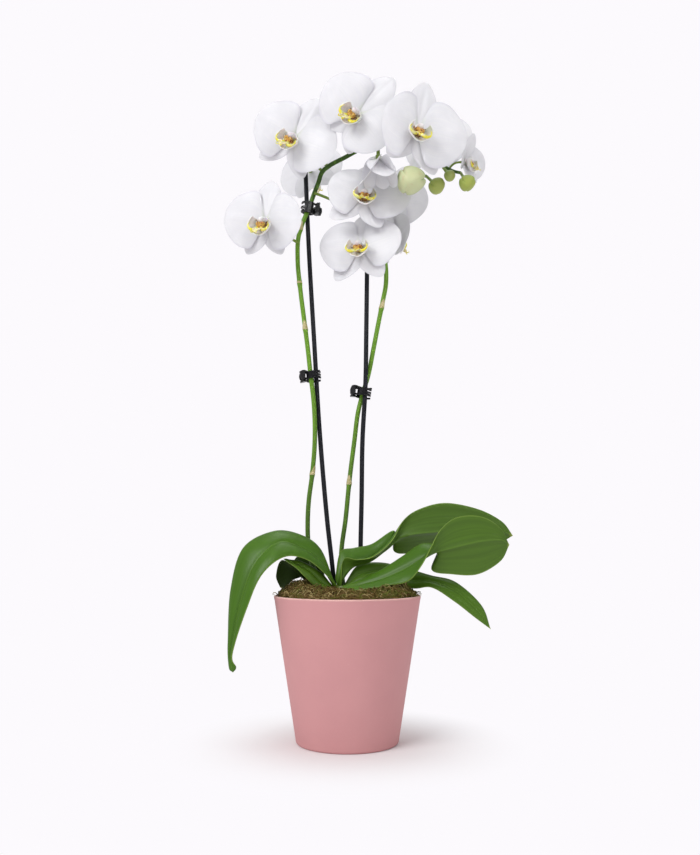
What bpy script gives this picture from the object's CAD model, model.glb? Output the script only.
"""The looks of a potted moth orchid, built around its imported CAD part.

Metres, +Z up, and the plant's front is -Y. Drawn points are in millimetres, as in the part.
"""

from math import cos, pi, radians, sin

import bmesh
import bpy
import numpy as np
from mathutils import Matrix, Vector


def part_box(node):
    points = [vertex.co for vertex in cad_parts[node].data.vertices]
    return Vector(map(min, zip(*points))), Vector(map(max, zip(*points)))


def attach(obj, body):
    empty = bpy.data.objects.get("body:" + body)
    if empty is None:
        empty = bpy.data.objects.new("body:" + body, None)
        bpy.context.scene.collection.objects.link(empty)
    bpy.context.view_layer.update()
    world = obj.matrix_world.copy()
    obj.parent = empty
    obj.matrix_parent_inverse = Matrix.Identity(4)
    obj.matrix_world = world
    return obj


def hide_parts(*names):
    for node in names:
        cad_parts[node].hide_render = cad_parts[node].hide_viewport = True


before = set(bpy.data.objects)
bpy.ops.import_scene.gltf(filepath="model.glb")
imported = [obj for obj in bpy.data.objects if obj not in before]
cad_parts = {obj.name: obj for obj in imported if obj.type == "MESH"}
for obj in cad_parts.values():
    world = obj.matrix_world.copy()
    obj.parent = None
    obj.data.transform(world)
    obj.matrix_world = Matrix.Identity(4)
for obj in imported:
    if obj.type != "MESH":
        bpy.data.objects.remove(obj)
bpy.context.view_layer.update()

MM = 0.001
SEED = 7
RNG = np.random.default_rng(SEED)

# ------------------------ sizes shared with the part
POT_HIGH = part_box("cover_pot")[1]
RIM = POT_HIGH.z
POT_TOP_RADIUS = POT_HIGH.x
POT_BASE_RADIUS = 47.7 * MM
POT_WALL = 3 * MM
POT_FLOOR = 5 * MM
STAKE_RADIUS = 2.3 * MM
SPIKE_RADIUS = 2.3 * MM
SPIKE_TIP_RADIUS = 1.5 * MM

# The axes of the stakes and of the flower spikes, and the heights of the spikes' nodes
STAKES = {
    "stake_left": [(-10, 16, 75), (-13, 15, 143), (-20, 14, 206), (-28, 14, 296), (-34, 14, 388),
                   (-40, 14, 484), (-45, 14, 590)],
    "stake_right": [(13, 26, 75), (13, 25, 138), (13, 22, 179), (14, 18, 226), (15, 13, 286),
                    (18, 10, 341), (19, 8, 397), (20, 7.5, 467)],
}
SPIKES = {
    "spike_left": [(-19, 8, 143), (-33, 10, 160), (-38, 11, 182), (-39, 11, 206), (-38, 11, 226),
                   (-35, 11, 250), (-32.5, 10, 285), (-34, 9.5, 326), (-37, 10, 350),
                   (-40, 10, 377), (-44, 8, 408), (-48, 7, 439), (-51, 7, 470), (-50, 8, 498),
                   (-46, 9, 512), (-40, 9, 527), (-35, 7.5, 541), (-30, 2, 552), (-26, -3, 561),
                   (-18, -7, 566), (-3, -10, 573), (11, -14, 579), (28, -18, 584), (50, -22, 584),
                   (70, -24, 575), (88, -24, 564), (101, -24, 554), (108, -24, 551),
                   (113, -24, 550)],
    "spike_right": [(-4, 13, 143), (-6, 17, 158), (-6, 19, 175), (-2, 18, 206), (2, 17, 246),
                    (7, 17, 286), (11, 16.5, 316), (15, 16.5, 332), (21, 15, 352), (26, 12, 377),
                    (31, 10, 403), (36, 8, 428), (39, 8, 444), (39.5, 9, 457), (38, 10, 476),
                    (36, 11, 498), (37, 9, 522), (44, 4, 542), (56, 0, 552), (69, -6, 556),
                    (80, -12, 552)],
}
SPIKE_NODES = {"spike_left": (251, 398, 446, 503), "spike_right": (242, 420)}

# Each leaf's far edge, midrib and near edge, from its root to its tip
LEAVES = {
    "leaf_right_upper": (
        [(-12, 4, 150), (-7, 11, 175), (6, 13, 179), (24, 14, 183), (46, 17, 196), (46, 23, 176),
         (64, 26, 174), (92, 26, 179), (127, 24, 183), (151, 20, 185), (163, 16, 191)],
        [(-9, 2, 141), (-3, 2, 153), (6, 4, 162), (22, 8, 167), (36, 10, 177), (51, 10, 189),
         (66, 8, 193), (87, 8, 195), (120, 10, 200), (145, 12, 198), (163, 16, 191)],
        [(-6, 0, 139), (-4, -2, 168), (10, -4, 168), (25, -4, 171), (43, 2, 186), (55, 8, 206),
         (71, 12, 217), (97, 14, 223), (129, 15, 217), (152, 15, 205), (163, 16, 191)]),
    "leaf_left_long": (
        [(-14, 2, 145), (-26, 2, 178), (-46, 0, 192), (-71, -4, 195), (-99, -12, 179),
         (-109, -20, 140), (-109, -28, 96), (-107, -33, 73), (-103, -36, 68)],
        [(-11, -2, 141), (-26, -8, 166), (-45, -14, 180), (-65, -20, 184), (-86, -27, 164),
         (-98, -31, 128), (-105, -34, 86), (-104, -37, 74), (-103, -36, 68)],
        [(-8, -6, 140), (-19, -14, 153), (-37, -24, 168), (-58, -32, 171), (-78, -38, 155),
         (-91, -40, 125), (-104, -37, 84), (-100, -37, 73), (-103, -36, 68)]),
    "leaf_right_broad": (
        [(-4, -2, 143), (14, -3, 150), (33, -6, 159), (52, -8, 171), (71, -11, 183),
         (86, -16, 179), (79, -20, 159), (97, -24, 155), (121, -26, 155), (142, -28, 167),
         (150, -32, 182)],
        [(-4, -8, 141), (15, -12, 145), (35, -16, 151), (53, -20, 159), (68, -24, 168),
         (79, -28, 175), (90, -32, 178), (106, -35, 182), (124, -36, 186), (141, -35, 187),
         (150, -32, 182)],
        [(-5, -14, 139), (15, -22, 141), (38, -28, 145), (56, -32, 149), (68, -36, 163),
         (77, -38, 180), (86, -38, 196), (101, -37, 207), (123, -36, 208), (141, -34, 198),
         (150, -32, 182)]),
    "leaf_right_lower": (
        [(-2, 10, 145), (10, 13, 162), (32, 14, 165), (56, 11, 160), (80, 2, 153), (103, -4, 147),
         (126, -10, 126), (134, -14, 104)],
        [(-1, 7, 143), (12, 8, 153), (34, 9, 157), (58, 5, 149), (80, -4, 148), (102, -10, 139),
         (121, -14, 122), (134, -14, 104)],
        [(1, 4, 141), (14, 3, 147), (36, 3, 149), (62, -2, 141), (80, -10, 142), (101, -15, 129),
         (119, -16, 115), (134, -14, 104)]),
    "leaf_left_short": (
        [(-17, -2, 146), (-24, -6, 155), (-34, -10, 162), (-45, -14, 167), (-55, -18, 168),
         (-60, -20, 169)],
        [(-16, -8, 141), (-26, -12, 148), (-35, -16, 157), (-46, -18, 163), (-54, -20, 167),
         (-60, -20, 169)],
        [(-16, -14, 139), (-29, -18, 143), (-39, -22, 152), (-47, -23, 160), (-54, -22, 165),
         (-60, -20, 169)]),
    "leaf_back_left": (
        [(-20, 20, 143), (-29, 29, 170), (-42, 40, 174), (-54, 48, 167), (-65, 56, 142)],
        [(-21, 16, 143), (-34, 24, 153), (-53, 34, 150), (-61, 45, 143), (-66, 56, 137)],
        [(-24, 12, 141), (-41, 18, 147), (-64, 27, 167), (-72, 41, 152), (-69, 54, 139)]),
}
# Each leaf's tint: 0 is the mid green of most leaves, 1 is lighter olive, -1 very dark
LEAF_TINTS = {"leaf_left_short": 0.5, "leaf_back_left": -0.9, "leaf_right_lower": 0.3}

# Each tepal's usual length and width, and its direction in degrees, seen from the front
TEPALS = {
    "petal_left": (44, 60, 172),
    "petal_right": (44, 60, 8),
    "sepal_top": (43, 29, 90),
    "sepal_left": (41, 25, 232),
    "sepal_right": (41, 25, 308),
}
# How far behind the petals each tepal starts
TEPAL_BEHIND = {"petal_left": 0, "petal_right": 0, "sepal_top": 0.4, "sepal_left": 1.6,
                "sepal_right": 1.6}
# The two kinds of tepal: the outline's powers, how many degrees it leans forward, how far its
# edges fall back, how high they wave, and how far its midline stands forward
PETAL = dict(outline=(0.74, 0.50), lean=14, fall=2.6, wave=1.0, ridge=0.5)
SEPAL = dict(outline=(0.82, 0.56), lean=3, fall=1.2, wave=0.5, ridge=-0.8)
TEPAL_RECURVE = 0.15

# Where each flower's hub is, its yaw, pitch and roll in degrees, where its stalk joins the spike,
# and its tepals in the order above where they differ from the usual ones
FLOWERS = {
    "flower_left": dict(place=(-81, -26, 498), turn=(-18, 6, 8), joins=(-50, 7, 488), tepals=(
        (45, 58, 175), (41, 56, 2), (42, 31, 90), (37, 24, 238), (36, 22, 302))),
    "flower_upper_left": dict(place=(-53, -26, 586), turn=(-16, 6, 31), joins=(-26, -3, 561),
        tepals=(
        (48, 60, 175), (50, 60, 4), (46, 30, 88), (43, 24, 228), (41, 24, 308))),
    "flower_top": dict(place=(10, -54, 596), turn=(-12, 6, 47), joins=(20, -16, 582), tepals=(
        (46, 60, 172), (46, 58, -8), (49, 34, 90), (30, 22, 245), (38, 24, 300))),
    "flower_upper_right": dict(place=(66, -70, 571), turn=(16, 4, 14), joins=(50, -22, 584),
        tepals=(
        (38, 66, 178), (51, 66, 6), (52, 31, 92), (38, 26, 238), (44, 27, 312))),
    "flower_middle": dict(place=(16, -28, 523), turn=(6, -10, 8), joins=(-34, 4, 541), tepals=(
        (38, 54, 166), (48, 50, 8), (38, 26, 92), (40, 24, 222), (35, 26, 306))),
    "flower_lower": dict(place=(13, -14, 476), turn=(-14, -8, 2), joins=(37, 10, 488), tepals=(
        (43, 56, 174), (44, 52, 14), (38, 26, 90), (41, 25, 232), (38, 25, 308))),
    "flower_back_low": dict(place=(47, 34, 502), turn=(118, 0, 10), joins=(36, 11, 500), size=0.75),
    "flower_back_middle": dict(place=(50, 50, 553), turn=(160, 5, -20), joins=(38, 8, 528),
        size=0.9),
    "flower_back_left": dict(place=(-40, 42, 583), turn=(165, 5, 20), joins=(-18, -7, 566),
        size=0.85),
    "flower_back_right": dict(place=(92, -2, 592), turn=(150, 5, -10), joins=(70, -24, 575),
        size=0.9),
    "flower_nodding": dict(place=(30, -50, 552), turn=(14, 84, 0), joins=(28, -18, 584), size=0.94,
        lean=62, lip=False, tepals=(
        (42, 42, 173), (40, 40, 5), (45, 30, 92), (38, 28, 236), (37, 27, 305))),
    "flower_opening": dict(place=(116, -34, 557), turn=(55, 5, 0), joins=(101, -24, 554), size=0.68,
        lean=28, tepals=(
        (28, 36, 166), (44, 50, 12), (44, 29, 92), (40, 24, 264), (38, 24, 310))),
}
BUDS = {
    "bud_large": dict(place=(61, -52, 529), half=(12.5, 15), joins=(69, -6, 556), whiteness=0.75),
    "bud_green": dict(place=(89, -24, 536), half=(7.6, 7.6), joins=(80, -12, 552), whiteness=0.15),
    "bud_end": dict(place=(116, -46, 529), half=(7.2, 8), joins=(113, -24, 550), whiteness=0.1),
    "bud_side": dict(place=(101, -32, 543), half=(5, 6), joins=(94, -24, 558), whiteness=0.2),
}

# ------------------------ detail
WELD = 0.002 * MM
POT_SEGMENTS, CORNER_STEPS = 192, 8
POT_RIM_ROUND = 1.3 * MM
POT_BASE_ROUND = 2.5 * MM
ROD_STEPS, ROD_SIDES = 140, 20
LEAF_ROWS, LEAF_COLUMNS = 110, 36
LEAF_THICK = 2.0 * MM
LEAF_BELLY = 1.3 * MM
LEAF_GROOVE = 0.9 * MM
TEPAL_ROWS, TEPAL_COLUMNS = 34, 26
TEPAL_THICK = 0.75 * MM
LIP_FULLNESS = 1.14
LOBE_ROWS, LOBE_COLUMNS = 15, 9
LOBE_THICK = 0.9 * MM
BOWL_ROWS, BOWL_COLUMNS = 17, 37
BOWL_REACH = 122
BOWL_THICK = 0.6 * MM
BALL_ROWS, BALL_COLUMNS = 15, 20
BUD_ROWS, BUD_COLUMNS = 29, 48
BRACT_ROWS, BRACT_COLUMNS = 7, 20
MOSS_ROWS, MOSS_COLUMNS = 40, 120
MOSS_RADIUS = POT_TOP_RADIUS - POT_WALL - 0.6 * MM
MOSS_SUNK = 2.6 * MM
MOSS_DEPTH = 18 * MM
STRANDS, STRAND_POINTS = 5000, 8
STRAY_SHARE, STRAY_REACH = 0.03, 4.5 * MM
# Arrows that no rod and no bud starts along, from which their sides are found
ROD_REFERENCE, BUD_REFERENCE = (0.3, 1, 0.2), (0.2, 1, 0.1)

# ------------------------ colours, in linear light
POT_COLOURS = dict(deep=(0.60, 0.290, 0.297), pale=(0.63, 0.308, 0.313), streak=(0.68, 0.37, 0.37),
                   speck=(0.74, 0.46, 0.45), rim=(0.80, 0.50, 0.45))
# Leaves and buds: each part's colour at one end of the tint or whiteness, and at the other
LEAF_COLOURS = dict(top=((0.058, 0.146, 0.008), (0.105, 0.19, 0.016)),
                    deep=((0.036, 0.102, 0.004), (0.06, 0.13, 0.009)),
                    under=((0.072, 0.152, 0.012), (0.12, 0.19, 0.03)))
LEAF_MIDRIB, LEAF_EDGE = (0.13, 0.25, 0.03), (0.24, 0.36, 0.06)
LEAF_ROOT, LEAF_TIP = (0.13, 0.24, 0.02), (0.36, 0.42, 0.08)
BUD_COLOURS = dict(tip=((0.30, 0.36, 0.045), (0.62, 0.64, 0.42)),
                   green=((0.13, 0.20, 0.018), (0.33, 0.42, 0.10)))
BUD_BLUSH = (0.45, 0.25, 0.16)
PETAL_COLOURS = dict(shade=(0.675, 0.67, 0.69), white=(0.745, 0.738, 0.755),
                     vein=(0.62, 0.61, 0.70), fine_vein=(0.62, 0.62, 0.72),
                     edge=(0.55, 0.53, 0.62), midline=(0.62, 0.64, 0.64), root=(0.56, 0.62, 0.44))
MOSS_BROWN = ((0.075, 0.040, 0.011), (0.24, 0.155, 0.048))
MOSS_OLIVE = ((0.05, 0.060, 0.008), (0.19, 0.20, 0.034))
MOSS_STRAW, MOSS_SOIL = (0.46, 0.36, 0.16), (0.022, 0.016, 0.005)
SPIKE_LOW, SPIKE_HIGH = (0.048, 0.105, 0.010), (0.125, 0.27, 0.018)
SPIKE_ARCH = (0.036, 0.088, 0.007)
PEDICEL_LOW, PEDICEL_HIGH = (0.10, 0.18, 0.02), (0.16, 0.24, 0.035)
STALK_SCAR = (0.12, 0.07, 0.02)
ARCH_HEIGHTS = (0.50, 0.55)
# The lip's finishes: two mottled colours, and how strongly they are spotted
LIP_FINISHES = {
    "lip_bowl": ((0.84, 0.83, 0.82), (0.78, 0.76, 0.76), 0.0),
    "lip_yellow": ((0.78, 0.70, 0.03), (0.74, 0.73, 0.30), 0.10),
    "lip_gold": ((0.52, 0.27, 0.05), (0.66, 0.45, 0.12), 0.9),
    "column_cap": ((0.80, 0.77, 0.78), (0.70, 0.62, 0.66), 0.0),
    "lip_tongue": ((0.78, 0.70, 0.30), (0.80, 0.76, 0.62), 0.4),
}
LIP_SPOT = (0.20, 0.035, 0.02)
LIP_THROAT, LIP_GREEN, LIP_RIM = (0.52, 0.31, 0.08), (0.56, 0.60, 0.44), (0.50, 0.56, 0.40)
# Plain finishes: two mottled colours, two ends of roughness, the mottling's scale, the relief's
# depth, and what is the same all over
PLAIN_FINISHES = {
    "stake_satin": ((0.005, 0.0055, 0.009), (0.010, 0.011, 0.016), 0.4, 0.55, 300, 0.0002,
                    dict(Specular_IOR_Level=0.22)),
    "bract_papery": ((0.36, 0.33, 0.13), (0.52, 0.44, 0.24), 0.55, 0.7, 260, 0.0002, {}),
    "clip_gloss": ((0.004, 0.004, 0.005), (0.008, 0.008, 0.010), 0.10, 0.2, 400, 0.00005,
                   dict(Specular_IOR_Level=0.35)),
    "spring_wire": ((0.50, 0.50, 0.50), (0.62, 0.62, 0.62), 0.25, 0.4, 500, 0.00005,
                    dict(Metallic=1.0)),
    "nursery_plastic": ((0.09, 0.10, 0.10), (0.12, 0.13, 0.13), 0.45, 0.6, 200, 0.0002, {}),
    "bark_rough": ((0.07, 0.035, 0.018), (0.20, 0.11, 0.06), 0.85, 0.95, 120, 0.002, {}),
    "root_skin": ((0.16, 0.26, 0.06), (0.30, 0.36, 0.16), 0.5, 0.7, 180, 0.0002, {}),
}
# CAD nodes that keep their shape, by a part of their names, and their finish
REPAINTED = {"_jaw_": "clip_gloss", "_spring": "spring_wire", "nursery_pot": "nursery_plastic",
             "bark_medium": "bark_rough", "stem_and_roots": "root_skin"}

# ------------------------ stage, camera and light
BACKGROUND = (0.975, 0.955, 0.985)
FLOOR_COLOUR = (0.93, 0.92, 0.935)
FLOOR_HALF = 6.0
# The floor turns into the background between these distances from the pot's axis
FLOOR_FADE = (0.06, 0.17)
WORLD_LIGHT = 0.42
CAMERA_PLACE = (0.0025, -0.80, 0.1815)
CAMERA_PITCH = 8.17
CAMERA_LENS, CAMERA_SENSOR = 34.58, 36
CAMERA_NEAREST = 0.01
# Where each lamp is, what it looks at, its size, its power and its spread in degrees
LIGHTS = {
    "key": ((-1.3, -1.5, 1.7), (0, 0, 0.35), 1.3, 33, 180),
    "fill": ((1.6, -1.2, 0.9), (0, 0, 0.3), 1.6, 3.5, 180),
    "bloom": ((0.9, -1.9, 1.5), (0.07, 0, 0.60), 0.6, 0.22, 16),
    "top": ((0.1, 0.3, 2.2), (0, 0, 0.3), 1.6, 16, 180),
}


# ======================== curves
def hermite(points, slope, knots, at):
    """Cubic pieces between the points, with the slopes given at each."""
    i = np.clip(np.searchsorted(knots, at, side="right") - 1, 0, len(points) - 2)
    width = (knots[i + 1] - knots[i])[:, None]
    q = (at - knots[i])[:, None] / width
    start = (2 * q**3 - 3 * q**2 + 1) * points[i] + (q**3 - 2 * q**2 + q) * width * slope[i]
    end = (3 * q**2 - 2 * q**3) * points[i + 1] + (q**3 - q**2) * width * slope[i + 1]
    return start + end


def along(points, count):
    """A smooth curve through points, read at even steps of its length."""
    points = np.array(points, float)
    reach = np.concatenate([[0], np.cumsum(np.linalg.norm(np.diff(points, axis=0), axis=1))])
    steps = np.linspace(0, 1, count) * reach[-1]
    return hermite(points, np.gradient(points, reach, axis=0), reach, steps)


def rail(points, count):
    """A smooth curve through drawn points, read at equal steps of the points' own count."""
    points = np.array(points, float) * MM
    knots = np.arange(len(points), dtype=float)
    return hermite(points, np.gradient(points, axis=0), knots, np.linspace(0, knots[-1], count + 1))


def unit(arrows):
    """Arrows of length one."""
    return arrows / np.maximum(np.linalg.norm(arrows, axis=-1, keepdims=True), 1e-12)


def smooth(x, low, high):
    """0 below low, 1 above high, and an even rise between."""
    t = np.clip((x - low) / (high - low), 0, 1)
    return t * t * (3 - 2 * t)


def turns(count):
    """Even turns around a circle, in radians."""
    return np.arange(count) / count * 2 * pi


def normals_of(grid):
    """Unit normals of a grid of points."""
    return unit(np.cross(np.gradient(grid, axis=0), np.gradient(grid, axis=1)))


def edge_profile(u, least, power):
    """A blade's thickness across its width: 1 at the middle, down to least at both edges."""
    return least + (1 - least) * (1 - np.abs(u) ** power)


# ======================== meshes
class Shape:
    """A mesh that grows piece by piece; every point carries three marks for its material."""

    def __init__(self):
        self.points, self.faces, self.slots, self.marks, self.count = [], [], [], [], 0

    def add(self, points, faces, slot, marks):
        """Take in points and faces, with marks for each point or one set for all."""
        points = np.asarray(points, float).reshape(-1, 3)
        self.points.append(points)
        self.marks.append(np.broadcast_to(np.asarray(marks, float).reshape(-1, 3), points.shape))
        self.faces.extend([[i + self.count for i in face] for face in faces])
        self.slots.extend([slot] * len(faces))
        self.count += len(points)

    def rings(self, points, slot, marks, caps=True):
        """A closed skin over rows of points, each row a loop."""
        rows, columns = points.shape[:2]
        index = np.arange(rows * columns).reshape(rows, columns)
        after = np.roll(index, -1, axis=1)
        faces = np.stack([index[:-1], after[:-1], after[1:], index[1:]], -1).reshape(-1, 4).tolist()
        if caps:
            faces += [index[0][::-1].tolist(), index[-1].tolist()]
        self.add(points, faces, slot, marks)

    def scale(self, factor):
        """Scale all that the shape holds."""
        self.points = [points * factor for points in self.points]

    def move(self, matrix):
        """Turn and shift all that the shape holds."""
        turn, shift = np.array(matrix)[:3, :3], np.array(matrix)[:3, 3]
        self.points = [points @ turn.T + shift for points in self.points]

    def make(self, name, materials, sharp=50):
        """The finished object, smooth except where faces meet at more than sharp degrees."""
        mesh = bpy.data.meshes.new(name)
        mesh.from_pydata(np.concatenate(self.points).tolist(), [], self.faces)
        mesh.polygons.foreach_set("material_index", self.slots)
        marks = mesh.attributes.new("marks", "FLOAT_VECTOR", "POINT")
        marks.data.foreach_set("vector", np.concatenate(self.marks).astype(np.float32).ravel())
        for material in materials:
            mesh.materials.append(material)
        clean(mesh)
        mesh.shade_smooth()
        mesh.set_sharp_from_angle(angle=radians(sharp))
        made = bpy.data.objects.new(name, mesh)
        bpy.context.scene.collection.objects.link(made)
        return made


def clean(mesh):
    """Join points that coincide, drop faces with no area and turn the rest outward."""
    work = bmesh.new()
    work.from_mesh(mesh)
    bmesh.ops.remove_doubles(work, verts=work.verts, dist=WELD)
    bmesh.ops.dissolve_degenerate(work, edges=work.edges, dist=WELD)
    bmesh.ops.recalc_face_normals(work, faces=work.faces)
    work.to_mesh(mesh)
    work.free()


def frames_along(path):
    """Two arrows across a path at each point, turning as little as they can."""
    ahead = unit(np.gradient(path, axis=0))
    side = unit(np.cross(ahead[0], ROD_REFERENCE))
    sides = []
    for arrow in ahead:
        side = unit(side - arrow * (side @ arrow))
        sides.append(side)
    sides = np.array(sides)
    return sides, np.cross(ahead, sides)


def tube(shape, path, radii, slot, sides=ROD_SIDES, marks=(0, 0, 0)):
    """A round rod along a path, its radii spread evenly over the path's points."""
    path = np.asarray(path, float)
    radii = np.interp(np.linspace(0, 1, len(path)), np.linspace(0, 1, len(radii)), radii)
    across, up = frames_along(path)
    turn = turns(sides)[None, :, None]
    ring = np.cos(turn) * across[:, None] + np.sin(turn) * up[:, None]
    shape.rings(path[:, None] + ring * radii[:, None, None], slot, marks)


def blade(shape, middle, normal, thickness, slot, u, v):
    """A thin solid around a grid of points; its marks are u across, v along and 1 or -1 by side."""
    half = normal * thickness[..., None] / 2
    points = np.concatenate([middle + half, (middle - half)[:, ::-1]], axis=1)
    across, lengthways = np.broadcast_arrays(u[None], v[:, None])
    up, down = (np.stack([across, lengthways, side + 0 * across], -1) for side in (1, -1))
    shape.rings(points, slot, np.concatenate([up, down[:, ::-1]], axis=1))


def ball(shape, centre, half, slot):
    """An ellipsoid from its centre and half sizes, in millimetres."""
    rise = np.linspace(0, pi, BALL_ROWS)[:, None]
    around = turns(BALL_COLUMNS)[None]
    points = np.stack([np.sin(rise) * np.cos(around), np.sin(rise) * np.sin(around),
                       np.cos(rise) + 0 * around], -1) * np.array(half) + np.array(centre)
    shape.rings(points * MM, slot, (0, 0, 0), caps=False)


def settle(piece, body, slot, *nodes):
    """Ride a finished piece on a body, in place of its CAD nodes."""
    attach(piece, body)
    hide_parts(*nodes)


# ======================== materials
def between(first, second, share):
    """A colour on the way from one to another."""
    return np.array(first) * (1 - share) + np.array(second) * share


class Surface:
    """A Principled material with small helpers for its nodes.

    Its `where` is the point in the object's own frame, and `marks` are the point's marks.
    """

    def __init__(self, name, **constants):
        self.material = bpy.data.materials.new(name)
        self.material.use_nodes = True
        self.nodes = self.material.node_tree.nodes
        self.links = self.material.node_tree.links
        self.shader = self.nodes["Principled BSDF"]
        self.where = self.node("TexCoord").outputs["Object"]
        self.marks = self.split(self.node("Attribute", attribute_name="marks").outputs["Vector"])
        for socket, value in constants.items():
            self.shader.inputs[socket.replace("_", " ")].default_value = value

    def node(self, kind, **settings):
        """A new shader node with settings."""
        made = self.nodes.new("ShaderNode" + kind)
        for key, value in settings.items():
            setattr(made, key, value)
        return made

    def plug(self, value, socket):
        """Give a socket a link, a colour or a number."""
        if isinstance(value, bpy.types.NodeSocket):
            self.links.new(value, socket)
        elif socket.type == "RGBA":
            socket.default_value = (*value, 1)
        else:
            socket.default_value = value

    def split(self, vector):
        """A vector's three parts."""
        made = self.node("SeparateXYZ")
        self.plug(vector, made.inputs[0])
        return made.outputs

    def math(self, operation, a, b=0.0):
        """An operation on two numbers."""
        made = self.node("Math", operation=operation)
        self.plug(a, made.inputs[0])
        self.plug(b, made.inputs[1])
        return made.outputs[0]

    def rise(self, value, low, high, start=0.0, end=1.0):
        """From start where the value is below low to end where it is above high."""
        made = self.node("MapRange", interpolation_type="SMOOTHSTEP")
        for socket, given in zip(made.inputs, (value, low, high, start, end)):
            self.plug(given, socket)
        return made.outputs[0]

    def mix(self, share, a, b):
        """Colour a where the share is 0, and b where it is 1."""
        made = self.node("Mix", data_type="RGBA")
        for socket, given in zip((made.inputs[0], made.inputs[6], made.inputs[7]), (share, a, b)):
            self.plug(given, socket)
        return made.outputs[2]

    def noise(self, scale, detail=3.0, stretch=(1, 1, 1), where=None):
        """Cloudy noise from 0 to 1, in the object's own frame or over a vector."""
        spread = self.node("Mapping")
        spread.inputs["Scale"].default_value = stretch
        self.plug(where or self.where, spread.inputs[0])
        made = self.node("TexNoise")
        self.plug(spread.outputs[0], made.inputs["Vector"])
        made.inputs["Scale"].default_value = scale
        made.inputs["Detail"].default_value = detail
        return made.outputs["Fac"]

    def veins(self, across, lengthways, detail=3.0):
        """Noise over a blade, finer across it than along it."""
        made = self.node("CombineXYZ")
        self.plug(self.math("MULTIPLY", self.marks[0], across), made.inputs[0])
        self.plug(self.math("MULTIPLY", self.marks[1], lengthways), made.inputs[1])
        return self.noise(1, detail, where=made.outputs[0])

    def bump(self, height, distance, strength):
        """A fine relief."""
        made = self.node("Bump")
        made.inputs["Distance"].default_value = distance
        made.inputs["Strength"].default_value = strength
        self.plug(height, made.inputs["Height"])
        self.plug(made.outputs[0], self.shader.inputs["Normal"])

    def set(self, **values):
        """Give the shader's sockets links, colours or numbers."""
        for socket, value in values.items():
            self.plug(value, self.shader.inputs[socket.replace("_", " ")])


def pot_material():
    """Matte pink glaze: soft mottling, faint streaks, fine speckle and a paler, worn rim."""
    s = Surface("pot_pink", Specular_IOR_Level=0.22)
    cloud = s.noise(18, 4)
    streak = s.noise(26, 3, stretch=(1, 1, 0.25))
    colour = s.mix(s.rise(cloud, 0.3, 0.7), POT_COLOURS["deep"], POT_COLOURS["pale"])
    colour = s.mix(s.rise(streak, 0.52, 0.75, 0, 0.12), colour, POT_COLOURS["streak"])
    speck = s.rise(s.noise(900, 2), 0.66, 0.76, 0, 0.22)
    colour = s.mix(speck, colour, POT_COLOURS["speck"])
    height = s.split(s.where)[2]
    uneven = s.math("ADD", height, s.math("MULTIPLY", s.noise(140, 2), 1.2 * MM))
    worn = s.rise(uneven, RIM - 1.2 * MM, RIM + 0.2 * MM, 0, 0.85)
    s.set(Base_Color=s.mix(worn, colour, POT_COLOURS["rim"]),
          Roughness=s.rise(cloud, 0.3, 0.7, 0.66, 0.8))
    s.bump(s.math("ADD", s.noise(700, 3), s.math("MULTIPLY", s.noise(60, 2), 2.0)), 0.00012, 0.5)
    return s.material


def leaf_material(name, tint):
    """Thick glossy leaf: paler midrib and rim, fine long veins, duller and paler beneath."""
    light, dark = max(tint, 0), max(-tint, 0)
    s = Surface("leaf_" + name, Specular_IOR_Level=0.24 * (1 - dark),
                Coat_Weight=0.05 * (1 - dark), Coat_Roughness=0.2)
    shade = 1 - 0.92 * dark
    green, deep, under = (between(*LEAF_COLOURS[part], light) * shade
                          for part in ("top", "deep", "under"))
    midrib, edge, root = (np.array(c) * shade for c in (LEAF_MIDRIB, LEAF_EDGE, LEAF_ROOT))
    u, v, side = s.marks
    wide = s.math("ABSOLUTE", u)
    upward = s.rise(side, -0.3, 0.3)
    streaks = s.rise(s.veins(9, 2.2, 4), 0.3, 0.7)
    top = s.mix(streaks, 0.3 * deep + 0.7 * green, green)
    top = s.mix(s.rise(s.noise(35, 4), 0.4, 0.72, 0, 0.35), top, green * 1.22)
    colour = s.mix(upward, s.mix(streaks, under * 0.82, under), top)
    colour = s.mix(s.rise(wide, 0.0, 0.05, 0.38, 0), colour, midrib)
    colour = s.mix(s.rise(wide, 0.955, 1.0, 0, 0.6), colour, edge)
    colour = s.mix(s.rise(v, 0.0, 0.16, 0.35, 0), colour, root)
    colour = s.mix(s.rise(v, 0.965, 1.0, 0, 0.7), colour, LEAF_TIP)
    s.set(Base_Color=colour, Roughness=s.rise(side, -0.3, 0.3, 0.5, 0.36))
    s.bump(s.math("ADD", s.veins(60, 1.2), s.math("MULTIPLY", s.noise(420, 2), 0.5)), 0.00007, 0.35)
    return s.material


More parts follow.
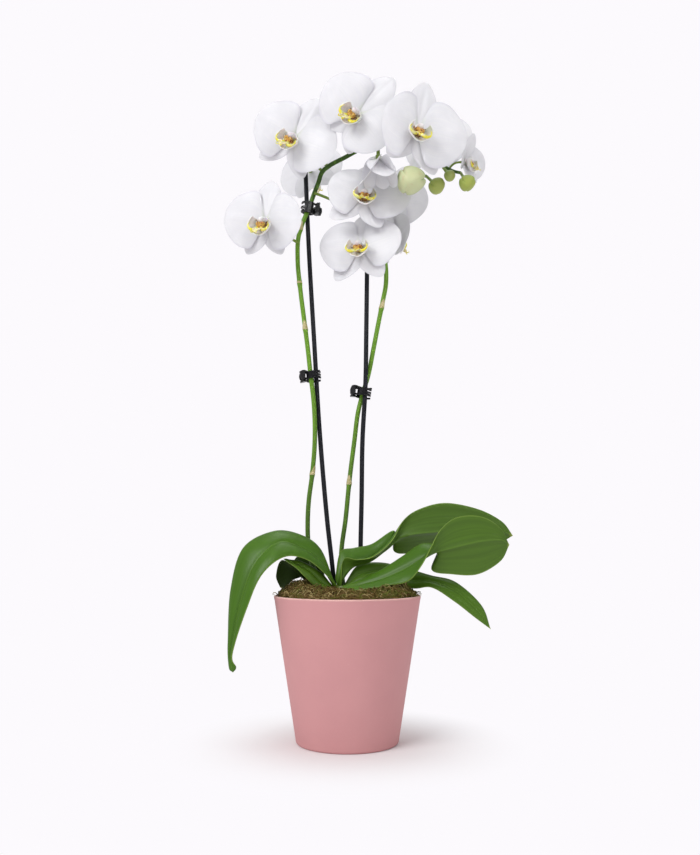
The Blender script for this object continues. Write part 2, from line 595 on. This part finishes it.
def petal_material():
    """White petal: faint cool veins along it, greenish at its root, and a satin surface."""
    s = Surface("petal_white", Roughness=0.5, Specular_IOR_Level=0.35, Subsurface_Weight=0.25,
                Subsurface_Scale=0.004, Subsurface_Radius=(1.0, 0.9, 0.9), Sheen_Weight=0.15,
                Sheen_Roughness=0.4)
    u, v, _ = s.marks
    wide = s.math("ABSOLUTE", u)
    veins, fine = s.veins(26, 1.3), s.veins(75, 2.4)
    paint = PETAL_COLOURS
    colour = s.mix(s.rise(s.noise(45, 3), 0.35, 0.7), paint["shade"], paint["white"])
    colour = s.mix(s.rise(veins, 0.46, 0.62, 0.20, 0), colour, paint["vein"])
    colour = s.mix(s.rise(fine, 0.52, 0.70, 0, 0.12), colour, paint["fine_vein"])
    colour = s.mix(s.rise(wide, 0.88, 1.0, 0, 0.45), colour, paint["edge"])
    colour = s.mix(s.rise(wide, 0.0, 0.045, 0.16, 0), colour, paint["midline"])
    colour = s.mix(s.rise(v, 0.0, 0.16, 0.6, 0), colour, paint["root"])
    s.set(Base_Color=colour)
    s.bump(s.math("ADD", fine, s.math("MULTIPLY", veins, 1.5)), 0.00012, 0.3)
    return s.material


def stalk_material(name, low, high, top_height, arch=None):
    """Smooth green stem, darker low down and at its arch, with faint streaks and small scars."""
    s = Surface(name, Roughness=0.42, Specular_IOR_Level=0.3)
    height = s.split(s.where)[2]
    colour = s.mix(s.rise(height, RIM, top_height), low, high)
    if arch:
        colour = s.mix(s.rise(height, *ARCH_HEIGHTS), colour, arch)
    streaks = s.rise(s.noise(240, 3, stretch=(1, 1, 0.12)), 0.5, 0.72, 0, 0.45)
    colour = s.mix(streaks, colour, 1.5 * np.array(high))
    colour = s.mix(s.rise(s.noise(330, 3), 0.68, 0.76, 0, 0.6), colour, STALK_SCAR)
    s.set(Base_Color=colour)
    s.bump(s.noise(500, 3, stretch=(1, 1, 0.2)), 0.0002, 0.4)
    return s.material


def plain_material(name):
    """Two mottled colours and a fine relief."""
    first, second, smoothest, roughest, scale, depth, constants = PLAIN_FINISHES[name]
    s = Surface(name, **constants)
    s.set(Base_Color=s.mix(s.rise(s.noise(scale, 4), 0.35, 0.68), first, second),
          Roughness=s.rise(s.noise(scale * 2.3, 3), 0.3, 0.7, smoothest, roughest))
    s.bump(s.noise(scale * 4, 3), depth, 0.5)
    return s.material


def moss_material():
    """Dry moss, brown to olive by the third mark; the second runs from soil (-1) to straw (1)."""
    s = Surface("moss_strands", Roughness=0.9, Specular_IOR_Level=0.2)
    brown = s.mix(s.noise(220, 3), *MOSS_BROWN)
    olive = s.mix(s.noise(260, 3), *MOSS_OLIVE)
    colour = s.mix(s.rise(s.marks[2], 0.35, 0.65), brown, olive)
    colour = s.mix(s.rise(s.marks[1], 0.62, 1.0), colour, MOSS_STRAW)
    s.set(Base_Color=s.mix(s.rise(s.marks[1], -1.0, -0.5, 1.0, 0.0), colour, MOSS_SOIL))
    s.bump(s.noise(1500, 3), 0.0002, 0.7)
    return s.material


def bud_material(name, whiteness):
    """Waxy bud: green by its stalk, paler towards the tip, darker in its seams."""
    s = Surface(name, Roughness=0.42, Specular_IOR_Level=0.3, Subsurface_Weight=0.1,
                Subsurface_Scale=0.003)
    tip, green = (between(*BUD_COLOURS[part], whiteness) for part in ("tip", "green"))
    seam, v, _ = s.marks
    wander = s.math("ADD", v, s.math("MULTIPLY", s.noise(90, 3), 0.35))
    colour = s.mix(s.rise(wander, 0.35, 0.95), green, tip)
    colour = s.mix(s.rise(seam, 0.25, 0.7, 0, 0.4), colour, tip * 1.15)
    colour = s.mix(s.rise(seam, 0.72, 1.0, 0, 0.7), colour, green * 0.55)
    colour = s.mix(s.rise(s.noise(140, 3), 0.6, 0.78, 0, 0.3), colour, BUD_BLUSH)
    s.set(Base_Color=colour)
    s.bump(s.noise(300, 3), 0.0002, 0.4)
    return s.material


def lip_material(name, base, other, spotted):
    """One of the lip's finishes; the bowl's also has a gold, spotted throat and a greenish rim."""
    s = Surface(name, Roughness=0.45, Specular_IOR_Level=0.3, Subsurface_Weight=0.12,
                Subsurface_Scale=0.002)
    colour = s.mix(s.rise(s.noise(300, 3), 0.4, 0.65), base, other)
    spots = s.rise(s.noise(560, 2, stretch=(1, 0.35, 1)), 0.53, 0.60)
    colour = s.mix(s.math("MULTIPLY", spots, spotted), colour, LIP_SPOT)
    if name == "lip_bowl":
        u, v, _ = s.marks
        wander = s.math("ADD", v, s.math("MULTIPLY", s.noise(160, 2), 0.3))
        colour = s.mix(s.rise(wander, 0.40, 0.75, 0.5, 0), colour, LIP_GREEN)
        colour = s.mix(s.rise(wander, 0.26, 0.46, 0.9, 0), colour, LIP_THROAT)
        colour = s.mix(s.rise(u, 0.35, 0.8, 0, 0.5), colour, LIP_RIM)
        deep_spots = s.math("MULTIPLY", spots, s.rise(wander, 0.42, 0.66, 0.9, 0))
        colour = s.mix(deep_spots, colour, LIP_SPOT)
    s.set(Base_Color=colour)
    s.bump(s.noise(900, 3), 0.0002, 0.4)
    return s.material


# ======================== pieces
def make_pot(material):
    """Tapered cover pot with a softly rounded rim and foot."""
    def radius(z):
        return POT_BASE_RADIUS + (POT_TOP_RADIUS - POT_BASE_RADIUS) * z / RIM

    def corner(r, z, size, start, end):
        angles = np.radians(np.linspace(start, end, CORNER_STEPS + 1))
        return [(r + size * cos(t), z + size * sin(t)) for t in angles]

    inner = [(0.0, POT_FLOOR), (radius(POT_FLOOR) - POT_WALL - 2 * MM, POT_FLOOR)]
    inner += [(radius(z) - POT_WALL, z) for z in np.linspace(POT_FLOOR + 2 * MM, RIM - 3 * MM, 12)]
    rim_height = RIM - POT_RIM_ROUND
    rim = corner(POT_TOP_RADIUS - POT_WALL + POT_RIM_ROUND, rim_height, POT_RIM_ROUND, 180, 90)
    rim += corner(POT_TOP_RADIUS - POT_RIM_ROUND, rim_height, POT_RIM_ROUND, 90, 0)
    outer = [(radius(z), z) for z in np.linspace(RIM - 4 * MM, POT_BASE_ROUND + 2 * MM, 24)]
    foot = corner(radius(POT_BASE_ROUND) - POT_BASE_ROUND, POT_BASE_ROUND, POT_BASE_ROUND, 0, -90)
    profile = np.array(inner + rim + outer + foot + [(0.0, 0.0)])
    turn = turns(POT_SEGMENTS)
    points = np.stack([profile[:, :1] * np.cos(turn), profile[:, :1] * np.sin(turn),
                       profile[:, 1:] + 0 * turn], -1)
    shape = Shape()
    shape.rings(points, 0, (0, 0, 0), caps=False)
    settle(shape.make("pot_glazed", [material], 60), "root", "pot_pink", "cover_pot")


def moss_height(x, y):
    """The mound's surface: heaped at both sides and sunk to the rim all round."""
    r = np.hypot(x, y) / MM
    heap = 7.5 * np.exp(-(((x / MM + 42) / 24) ** 2) - ((y / MM - 4) / 40) ** 2)
    heap += 8.5 * np.exp(-(((x / MM - 47) / 20) ** 2) - ((y / MM - 4) / 40) ** 2)
    ripple = 1.2 * np.sin(x / MM * 0.19 + 1.3) * np.cos(y / MM * 0.23)
    ripple += 1.3 * np.sin(x / MM * 0.61 + y / MM * 0.35) * np.sin(y / MM * 0.57 + 2.1)
    edge = 1 - smooth(r, 52, 67)
    return RIM - 1.5 * MM + (3.0 + heap + ripple) * edge * MM


def make_moss(material):
    """A rough mound under thousands of thin, bent strands, which crowd at the rim."""
    shape = Shape()
    r = np.linspace(0, MOSS_RADIUS, MOSS_ROWS)[:, None]
    turn = turns(MOSS_COLUMNS)[None]
    x, y = r * np.cos(turn), r * np.sin(turn)
    z = moss_height(x, y) - MOSS_SUNK + RNG.normal(0, 0.5 * MM, x.shape)
    z[0] = z[0].mean()
    top = np.stack([x, y, z], -1)
    foot = np.stack([x[-1:], y[-1:], 0 * x[-1:] + RIM - MOSS_DEPTH], -1)
    shape.rings(np.concatenate([top, foot]), 0, (0, -1, 0.2))
    radius = MOSS_RADIUS * np.sqrt(RNG.uniform(0, 1, STRANDS))
    crowded = RNG.uniform(0, 1, STRANDS) < 0.3
    radius = np.where(crowded, MOSS_RADIUS * RNG.uniform(0.86, 1.0, STRANDS), radius)
    angle = RNG.uniform(0, 2 * pi, STRANDS)
    for i in range(STRANDS):
        add_strand(shape, radius[i] * cos(angle[i]), radius[i] * sin(angle[i]))
    settle(shape.make("moss_strands", [material]), "root", "moss_brown", "moss")


def add_strand(shape, x, y):
    """One strand: it wanders over the mound, dips in and out, and may stray over the rim."""
    length = RNG.uniform(8, 24) * MM
    heading = RNG.uniform(0, 2 * pi)
    curl = RNG.normal(0, 0.35)
    stray = RNG.uniform() < STRAY_SHARE
    lift = RNG.uniform(-1.8, 2.4) * MM
    arch = RNG.uniform(-0.5, 4.2) * MM
    limit = MOSS_RADIUS + (STRAY_REACH if stray else -0.6 * MM)
    step = length / STRAND_POINTS
    path = []
    for j in range(STRAND_POINTS):
        share = j / (STRAND_POINTS - 1)
        reach = np.hypot(x, y)
        if reach > limit:
            x, y = x * limit / reach, y * limit / reach
            heading += pi / 2
        z = moss_height(x, y) + lift + arch * sin(pi * share) + RNG.normal(0, 0.35 * MM)
        if np.hypot(x, y) > MOSS_RADIUS:
            z = max(z, RIM + 0.7 * MM)
        path.append((x, y, z))
        heading += curl + RNG.normal(0, 0.3)
        x, y = x + step * cos(heading), y + step * sin(heading)
    thick = RNG.uniform(0.18, 0.46) * MM
    tint = np.clip(RNG.normal(0.36 + 0.22 * smooth(path[0][0], 0.0, 0.05), 0.2), 0, 1)
    tube(shape, path, [thick, thick, thick * 0.5], 0, 4, (0, RNG.uniform(-0.45, 1.0), tint))


def make_leaf(name):
    """A thick leaf with a grooved midrib, full halves and thinner edges."""
    far, midrib, near = (rail(points, LEAF_ROWS) for points in LEAVES[name])
    u = np.linspace(-1, 1, LEAF_COLUMNS + 1)
    v = np.linspace(0, 1, LEAF_ROWS + 1)
    side = np.where((u < 0)[None, :, None], (far - midrib)[:, None], (near - midrib)[:, None])
    middle = midrib[:, None] + side * np.abs(u)[None, :, None]
    leftward = midrib[-1, 0] < midrib[0, 0]
    normal = normals_of(middle) * (1 if leftward else -1)
    normal[-3:] = normal[-4]
    width = np.linalg.norm(side, axis=-1)
    away = width * np.abs(u)
    fullness = LEAF_BELLY * np.sin(pi * np.abs(u)) * np.clip(width / (16 * MM), 0, 1)
    groove = LEAF_GROOVE * np.exp(-((away / (2.0 * MM)) ** 2)) * np.clip(width / (10 * MM), 0, 1)
    middle = middle + normal * (fullness - groove)[..., None]
    taper = np.clip(v[::-1] * 12, 0.15, 1)[:, None]
    thickness = LEAF_THICK * (0.28 + 0.72 * np.sqrt(1 - np.abs(u) ** 4))[None] * taper
    shape = Shape()
    blade(shape, middle, normal, thickness, 0, u, v)
    piece = shape.make(name + "_blade", [leaf_material(name, LEAF_TINTS.get(name, 0.0))], 70)
    settle(piece, "root", "leaf_green", name)


def add_tepal(shape, kind, size, lean, behind, phase):
    """A petal or sepal: an oval that leans forward, curls back at its tip and waves at its edge."""
    length, width, direction = size
    share = (1 - np.cos(pi * np.linspace(0, 1, TEPAL_ROWS + 1))) / 2
    u = np.sin(np.linspace(-1, 1, TEPAL_COLUMNS + 1) * pi / 2)
    first, second = kind["outline"]
    outline = width / 2 * np.sin(pi * share ** first) ** second
    if kind is PETAL:
        outline *= 0.25 + 0.75 * smooth(share, -0.03, 0.27)
    outline = np.maximum(outline, 0.02)
    out = length * share[:, None] + 0 * u[None]
    along_out = np.sin(pi * share)[:, None]
    turn = radians(direction)

    def surface(half):
        side = half[:, None] * u[None]
        forward = sin(radians(lean)) * out - TEPAL_RECURVE * out**2 / length
        forward = forward - kind["fall"] * along_out * u[None] ** 2
        edge = smooth(np.abs(u), 0.45, 1.0)[None] * along_out
        forward = forward + kind["wave"] * edge * np.sin(9 * share[:, None] + phase + 2 * u[None])
        forward = forward + kind["ridge"] * np.exp(-((side / 2.2) ** 2)) * along_out
        spread = cos(radians(lean)) * out
        x = spread * cos(turn) - side * sin(turn)
        z = spread * sin(turn) + side * cos(turn)
        return np.stack([x, -forward, z], -1) * MM

    middle = surface(outline)
    normal = normals_of(surface(np.maximum(outline, 3.0)))
    normal *= -np.sign(normal[TEPAL_ROWS // 2, TEPAL_COLUMNS // 2, 1])
    middle[..., 1] += behind * MM
    fade = np.clip(np.minimum(share, 1 - share) * 14, 0.08, 1)[:, None]
    thickness = TEPAL_THICK * edge_profile(u, 0.35, 3)[None] * fade
    blade(shape, middle, normal, thickness, 0, u, share)


def turning(yaw, pitch, roll):
    """Rotation of a flower: roll about its face, then nod forward, then turn sideways."""
    about_z, about_x, about_y = (Matrix.Rotation(radians(angle), 4, axis)
                                 for angle, axis in ((yaw, "Z"), (pitch, "X"), (roll, "Y")))
    return about_z @ about_x @ about_y


def make_flower(name, flower, petal, stalk, lip_set):
    """Five tepals around a small hub on a curved stalk, with the lip in front."""
    size = flower.get("size", 1.0)
    matrix = Matrix.Translation(Vector(flower["place"]) * MM) @ turning(*flower["turn"])
    shape = Shape()
    for part, tepal in zip(TEPALS, flower.get("tepals", TEPALS.values())):
        kind = PETAL if part.startswith("petal") else SEPAL
        add_tepal(shape, kind, tepal, flower.get("lean", kind["lean"]), TEPAL_BEHIND[part],
                  RNG.uniform(0, 2 * pi))
    ball(shape, (0, 1.5, 0), (3.4, 3.6, 3.4), 1)
    shape.scale(size)
    joins = matrix.inverted() @ (Vector(flower["joins"]) * MM)
    path = along([(0, 1.6 * MM * size, 0), (0, 17.6 * MM * size, 0), tuple(joins)], 28)
    radii = np.array([2.0, 1.5, 1.35, 1.35, 1.35, 1.5]) * MM * min(size * 1.1, 1)
    tube(shape, path, radii, 1, 14)
    shape.move(matrix)
    piece = shape.make(name + "_tepals", [petal, stalk], 60)
    settle(piece, "root", "petal_white", name + "_petals")
    if flower.get("lip", True):
        make_lip(name, matrix, size, lip_set)


def lobe(shape, rows, slot):
    """A curved sheet from a table of (x, y, z, half width) along its length, in millimetres."""
    table = along(rows, LOBE_ROWS)
    u, v = np.linspace(-1, 1, LOBE_COLUMNS), np.linspace(0, 1, LOBE_ROWS)
    half = table[:, 3][:, None]
    curve = half * 0.30 * u[None] ** 2
    middle = (table[:, None, :3] + np.stack([half * u[None], -curve * 0.6, curve], -1)) * MM
    thickness = LOBE_THICK * edge_profile(u, 0.45, 3)[None] * np.ones((LOBE_ROWS, 1))
    blade(shape, middle, normals_of(middle), thickness, slot, u, v)


def bowl(shape, slot):
    """The open bowl that the lip's side lobes form below the column, with a wavy rim."""
    u, v = np.linspace(-1, 1, BOWL_COLUMNS), np.linspace(0, 1, BOWL_ROWS)
    turn, deep = radians(BOWL_REACH) * u[None], v[:, None]
    radius = 2.2 + 9.6 * np.sin(deep * pi / 2)
    radius = radius + 0.5 * deep * np.sin(5 * turn + 1) + 0.9 * deep * np.cos(2 * turn)
    radius = radius * (1 - 0.34 * deep * np.abs(u) ** 3)
    x = radius * np.sin(turn)
    y = -4.2 - 8.5 * deep**1.5 - 1.2 * deep * np.abs(u)
    z = -2.8 - 0.92 * radius * np.cos(turn)
    middle = np.stack([x, y, z], -1) * MM
    thickness = BOWL_THICK * edge_profile(u, 0.4, 6)[None] * np.ones((BOWL_ROWS, 1))
    blade(shape, middle, normals_of(middle), thickness, slot, u, v)


def make_lip(name, matrix, size, materials):
    """Lip and column: white bowl, spotted callus, yellow horns, mid lobe with threads, and cap."""
    slots = {finish: slot for slot, finish in enumerate(LIP_FINISHES)}
    shape = Shape()

    def cord(points, count, radii, finish, sides):
        tube(shape, along(points, count) * MM, np.array(radii) * MM, slots[finish], sides)

    bowl(shape, slots["lip_bowl"])
    for hand in (-1, 1):
        cord([(hand * 1.5, -11.5, -8.0), (hand * 4.8, -14.0, -10.6), (hand * 8.0, -14.6, -9.6),
              (hand * 9.4, -14.0, -6.4), (hand * 8.4, -13.4, -3.8)], 18,
             [1.0, 1.35, 1.15, 0.7, 0.25], "lip_yellow", 14)
        cord([(hand * 0.6, -19.5, -13.6), (hand * 2.4, -21.5, -14.6), (hand * 3.0, -21.2, -12.4)],
             12, [0.6, 0.45, 0.25], "lip_yellow", 8)
        ball(shape, (hand * 2.0, -9.8, -4.6), (2.2, 2.3, 2.0), slots["lip_gold"])
    lobe(shape, [(0, -8.5, -7.0, 2.4), (0, -12.5, -9.6, 3.4), (0, -16.0, -11.6, 3.6),
                 (0, -19.0, -13.4, 1.6), (0, -20.5, -14.2, 0.5)], slots["lip_tongue"])
    ball(shape, (0, -9.4, -6.6), (3.6, 2.4, 2.4), slots["lip_gold"])
    cord([(0, 0, 0), (0, -4.5, 0.2), (0, -8.6, -0.6)], 9, [3.4, 2.8, 2.7], "column_cap", 18)
    ball(shape, (0, -9.0, -0.9), (2.9, 3.2, 2.5), slots["column_cap"])
    shape.scale(size * LIP_FULLNESS)
    shape.move(matrix)
    piece = shape.make(name + "_lip_detail", materials, 60)
    settle(piece, "root", "lip_yellow", name + "_lip")


def rod_path(points, foot=None):
    """A stake's or spike's axis, drawn down to a foot if one is given."""
    drawn = np.array(points, float) * MM
    if foot is not None:
        drawn = np.vstack([(*drawn[0, :2], foot), drawn])
    return along(drawn, ROD_STEPS)


def make_stake(name, material):
    """A slim satin rod, slightly narrower at its very top."""
    path = rod_path(STAKES[name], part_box(name)[0].z)
    radii = np.full(len(path), STAKE_RADIUS)
    radii[-1] *= 0.72
    shape = Shape()
    tube(shape, path, radii, 0)
    settle(shape.make(name + "_rod", [material]), "root", "stake_black", name)


def push_apart(path, line, gap):
    """Push a path's points sideways until they are clear of a rising line."""
    inside = (path[:, 2] > line[0, 2]) & (path[:, 2] < line[-1, 2])
    beside = np.stack([np.interp(path[:, 2], line[:, 2], line[:, k]) for k in range(2)], -1)
    away = path[:, :2] - beside
    distance = np.linalg.norm(away, axis=1)
    push = np.where(inside, np.maximum(gap - distance, 0), 0)
    path[:, :2] += away / distance[:, None] * push[:, None]


def make_spike(name, green, bract):
    """A flower stem with swollen nodes, each wrapped in a papery pointed bract."""
    path = rod_path(SPIKES[name])
    for stake in STAKES.values():
        push_apart(path, rod_path(stake), STAKE_RADIUS + SPIKE_RADIUS + 0.5 * MM)
    share = np.linspace(0, 1, len(path))
    radii = np.interp(share, np.linspace(0, 1, 5), [SPIKE_RADIUS] * 4 + [SPIKE_TIP_RADIUS])
    rising = path[: int(np.argmax(path[:, 2])) + 1]
    shape = Shape()
    for z in SPIKE_NODES[name]:
        swelling = np.exp(-(((path[:, 2] - z * MM) / (2.2 * MM)) ** 2))
        radii += 0.5 * MM * swelling * (share < 0.7)
        add_bract(shape, rising, z * MM)
    tube(shape, path, radii, 0)
    settle(shape.make(name + "_stem", [green, bract]), "root", "spike_green", name)


def add_bract(shape, rising, z):
    """A thin sheath around the stem at a node, cut to a point on one side."""
    turn = turns(BRACT_COLUMNS)
    lean = RNG.uniform(0, 2 * pi)
    tall = (2.2 + 7.5 * np.exp(-(((turn - pi) / 0.9) ** 2))) * MM
    rows = []
    for reach in np.linspace(0, 1, BRACT_ROWS):
        height = z - 0.6 * MM + reach * tall
        centre = np.stack([np.interp(height, rising[:, 2], rising[:, j]) for j in range(3)], -1)
        radius = SPIKE_RADIUS + (0.55 - 0.15 * reach) * MM
        ring = np.stack([np.cos(turn + lean), np.sin(turn + lean), 0 * turn], -1)
        rows.append(centre + ring * radius)
    shape.rings(np.array(rows), 1, (0, 0, 0), caps=False)


def make_bud(name, bud, stalk):
    """A closed bud: a pointed oval with three seams, on a short stalk."""
    centre, joins = np.array(bud["place"]) * MM, np.array(bud["joins"]) * MM
    across, tall = (h * MM for h in bud["half"])
    axis = unit(centre - joins)
    side = unit(np.cross(axis, BUD_REFERENCE))
    other = np.cross(axis, side)
    rise = np.linspace(0, pi, BUD_ROWS)[:, None]
    turn = turns(BUD_COLUMNS)[None]
    seam = np.exp(-((np.sin(1.5 * turn) / 0.14) ** 2)) * np.sin(rise) ** 0.7
    lobed = 1 + 0.05 * np.cos(3 * turn) + 0.03 * np.sin(2 * turn + 1)
    belly = np.sin(rise) * (1 - 0.22 * np.cos(rise * 0.9 + 2.2)) * (1 - 0.15 * seam) * lobed * 0.92
    points = (axis * (-np.cos(rise) * tall + 0 * turn)[..., None]
              + side * (belly * np.cos(turn) * across)[..., None]
              + other * (belly * np.sin(turn) * across)[..., None]) + centre
    shape = Shape()
    shape.rings(points, 0, np.stack([seam, rise / pi + 0 * turn, 0 * seam], -1), caps=False)
    path = along([centre - axis * tall * 0.8, (centre - axis * tall + joins) / 2, joins], 16)
    tube(shape, path, np.array([2.0, 1.4, 1.4]) * MM, 1, 14)
    skin = bud_material(name + "_skin", bud["whiteness"])
    settle(shape.make(name + "_closed", [skin, stalk], 60), "root", "bud_green", name)


def repaint(nodes, material):
    """Give carried-over CAD nodes a finished material."""
    for name in nodes:
        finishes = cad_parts[name].data.materials
        finishes.clear()
        finishes.append(material)


# ======================== stage
def make_stage():
    """A pale floor that fades into the bright background."""
    mesh = bpy.data.meshes.new("floor")
    corners = [(x * FLOOR_HALF, y * FLOOR_HALF, 0) for x, y in ((-1, -1), (1, -1), (1, 1), (-1, 1))]
    mesh.from_pydata(corners, [], [(0, 1, 2, 3)])
    floor = bpy.data.objects.new("floor", mesh)
    bpy.context.scene.collection.objects.link(floor)
    s = Surface("floor_white", Roughness=0.9, Specular_IOR_Level=0.1)
    s.set(Base_Color=FLOOR_COLOUR)
    away = s.node("VectorMath", operation="LENGTH")
    s.plug(s.where, away.inputs[0])
    glow = s.node("Emission")
    s.plug(BACKGROUND, glow.inputs["Color"])
    blend = s.node("MixShader")
    s.plug(s.rise(away.outputs["Value"], *FLOOR_FADE), blend.inputs[0])
    s.plug(s.shader.outputs[0], blend.inputs[1])
    s.plug(glow.outputs[0], blend.inputs[2])
    s.plug(blend.outputs[0], s.nodes["Material Output"].inputs[0])
    mesh.materials.append(s.material)


def make_light(name, place, aim, size, power, spread):
    """A soft square light that looks at a point; a small spread keeps it on what it is aimed at."""
    light = bpy.data.lights.new(name, "AREA")
    light.size = size
    light.energy = power
    light.spread = radians(spread)
    lamp = bpy.data.objects.new(name, light)
    lamp.location = place
    lamp.rotation_euler = (Vector(aim) - Vector(place)).to_track_quat("-Z", "Y").to_euler()
    bpy.context.scene.collection.objects.link(lamp)


def make_world():
    """Bright even surroundings: the background is near white, and what it lights is softer."""
    world = bpy.data.worlds.new("studio")
    bpy.context.scene.world = world
    world.use_nodes = True
    nodes, links = world.node_tree.nodes, world.node_tree.links
    seen, felt = nodes["Background"], nodes.new("ShaderNodeBackground")
    for part, colour, strength in ((seen, BACKGROUND, 1.0), (felt, (1, 1, 1), WORLD_LIGHT)):
        part.inputs["Color"].default_value = (*colour, 1)
        part.inputs["Strength"].default_value = strength
    path = nodes.new("ShaderNodeLightPath")
    blend = nodes.new("ShaderNodeMixShader")
    links.new(path.outputs["Is Camera Ray"], blend.inputs[0])
    links.new(felt.outputs[0], blend.inputs[1])
    links.new(seen.outputs[0], blend.inputs[2])
    links.new(blend.outputs[0], nodes["World Output"].inputs[0])


def make_camera():
    """The camera at the viewing angle of the product picture."""
    camera = bpy.data.cameras.new("camera")
    camera.sensor_width = CAMERA_SENSOR
    camera.lens = CAMERA_LENS
    camera.clip_start = CAMERA_NEAREST
    thing = bpy.data.objects.new("camera", camera)
    thing.location = CAMERA_PLACE
    thing.rotation_euler = (radians(90 + CAMERA_PITCH), 0, 0)
    bpy.context.scene.collection.objects.link(thing)
    bpy.context.scene.camera = thing
    bpy.context.scene.view_settings.view_transform = "Standard"


def build():
    """Make every piece, then the stage."""
    make_pot(pot_material())
    make_moss(moss_material())
    for name in LEAVES:
        make_leaf(name)
    satin = plain_material("stake_satin")
    for name in STAKES:
        make_stake(name, satin)
    green = stalk_material("spike_skin", SPIKE_LOW, SPIKE_HIGH, 0.38, SPIKE_ARCH)
    bract = plain_material("bract_papery")
    for name in SPIKES:
        make_spike(name, green, bract)
    petal = petal_material()
    stalk = stalk_material("pedicel_skin", PEDICEL_LOW, PEDICEL_HIGH, 0.5)
    lip_set = [lip_material(name, *finish) for name, finish in LIP_FINISHES.items()]
    for name, flower in FLOWERS.items():
        make_flower(name, flower, petal, stalk, lip_set)
    for name, bud in BUDS.items():
        make_bud(name, bud, stalk)
    for part, finish in REPAINTED.items():
        repaint([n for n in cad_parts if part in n], plain_material(finish))
    make_stage()
    make_world()
    for name, lamp in LIGHTS.items():
        make_light(name, *lamp)
    make_camera()


build()
